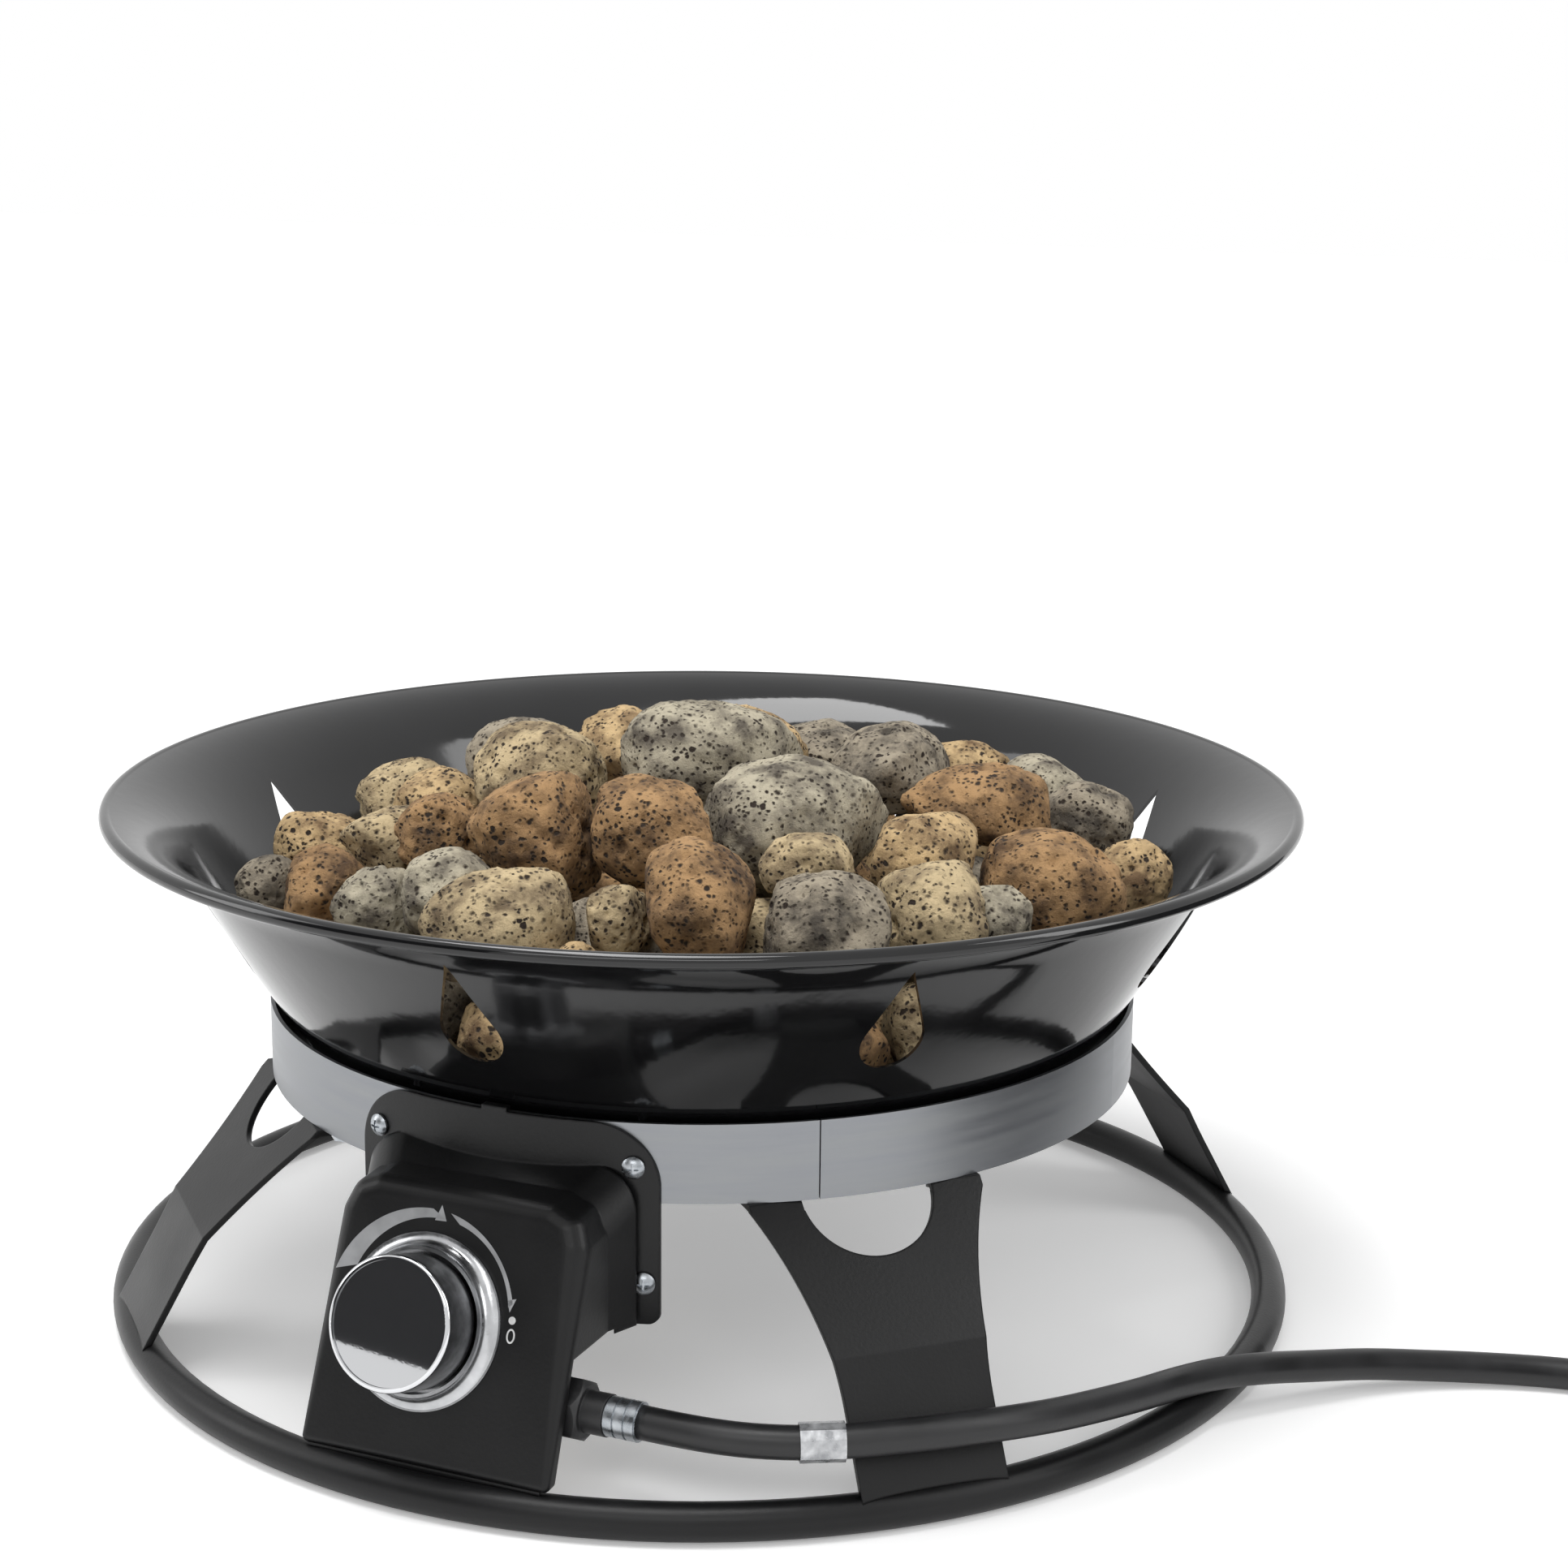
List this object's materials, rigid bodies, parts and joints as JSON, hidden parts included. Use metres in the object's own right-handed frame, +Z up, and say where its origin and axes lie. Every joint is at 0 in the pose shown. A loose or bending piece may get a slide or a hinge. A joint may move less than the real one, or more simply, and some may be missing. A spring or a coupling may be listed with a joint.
{
  "type": "tabletop gas fire pit",
  "caption": "Tabletop gas fire pit: black enamelled bowl of lava stones with vents, steel band, bent legs, tubular ring, push-and-turn control and coiled supply hose.",
  "frame": {"origin": "centre of the base ring on the ground", "axes": "+Z up along the bowl's axis; the control housing faces -Y; the hose lies on the +X side"},
  "size_m": [0.7857, 0.4928, 0.2492],
  "materials": {
    "enamel": "gloss",
    "powder_coat": "satin",
    "satin_steel": "satin",
    "zinc": "satin",
    "burner_steel": "satin",
    "brass": "satin",
    "chrome": "polished",
    "satin_chrome": "satin",
    "cast_grey": "satin",
    "rubber": "matte",
    "black_plastic": "matte",
    "sleeve_film": "satin",
    "lava": "rough"
  },
  "bodies": {
    "fire_pit": {"base_ring": "powder_coat", "leg_front_left": "powder_coat", "leg_front_right": "powder_coat", "leg_rear_left": "powder_coat", "leg_rear_right": "powder_coat", "leg_bolts": "zinc", "leg_nuts": "zinc", "base_band": "satin_steel", "base_pan": "powder_coat", "fire_bowl": "enamel", "bulkhead_nuts": "zinc", "riser_pipe": "burner_steel", "burner_ring": "burner_steel", "burner_elbow": "zinc", "mixer_tube": "burner_steel", "gas_jet": "brass", "valve_body": "brass", "valve_nut": "zinc", "knob_bezel": "satin_chrome", "control_housing": "powder_coat", "housing_screws": "zinc", "inlet_elbow": "brass", "hose_nut": "black_plastic", "hose_ferrule": "zinc", "hose_run": "rubber", "hose_label_sleeve": "sleeve_film", "hose_coil": "rubber", "hose_tail": "rubber", "regulator_ferrule": "zinc", "regulator_body": "cast_grey", "regulator_bonnet": "cast_grey", "connector_nipple": "brass", "nipple_seal": "rubber", "stones_floor_ring": "lava", "stones_wall_ring": "lava", "stones_inner": "lava", "stones_top": "lava"},
    "knob_pusher": {"stem_collar": "burner_steel"},
    "knob": {"control_knob": "chrome", "valve_stem": "brass"},
    "plug": {"valve_plug": "brass"},
    "coupling": {"coupling_nut": "black_plastic"}
  },
  "joints": [
    {"name": "knob_push", "type": "slide", "parent": "fire_pit", "child": "knob_pusher", "axis": [0, 0.9397, -0.342], "range_m": [0, 0.004], "stiffness_N_per_m": 600, "springref_m": -0.003},
    {"name": "knob_turn", "type": "hinge", "parent": "knob_pusher", "child": "knob", "pos_m": [-0.008, -0.21756, 0.06252], "axis": [0, -0.9397, 0.342], "range_deg": [0, 210]},
    {"name": "plug_turn", "type": "hinge", "parent": "fire_pit", "child": "plug", "pos_m": [-0.008, -0.21756, 0.06252], "axis": [0, -0.9397, 0.342], "range_deg": [0, 210]},
    {"name": "coupling_spin", "type": "hinge", "parent": "fire_pit", "child": "coupling", "pos_m": [0.39052, 0.06352, 0.0191], "axis": [0.7071, -0.7071, 0], "continuous": true}
  ],
  "couplings": [
    {"joint": "plug_turn", "follows": "knob_turn", "ratio": 1}
  ]
}
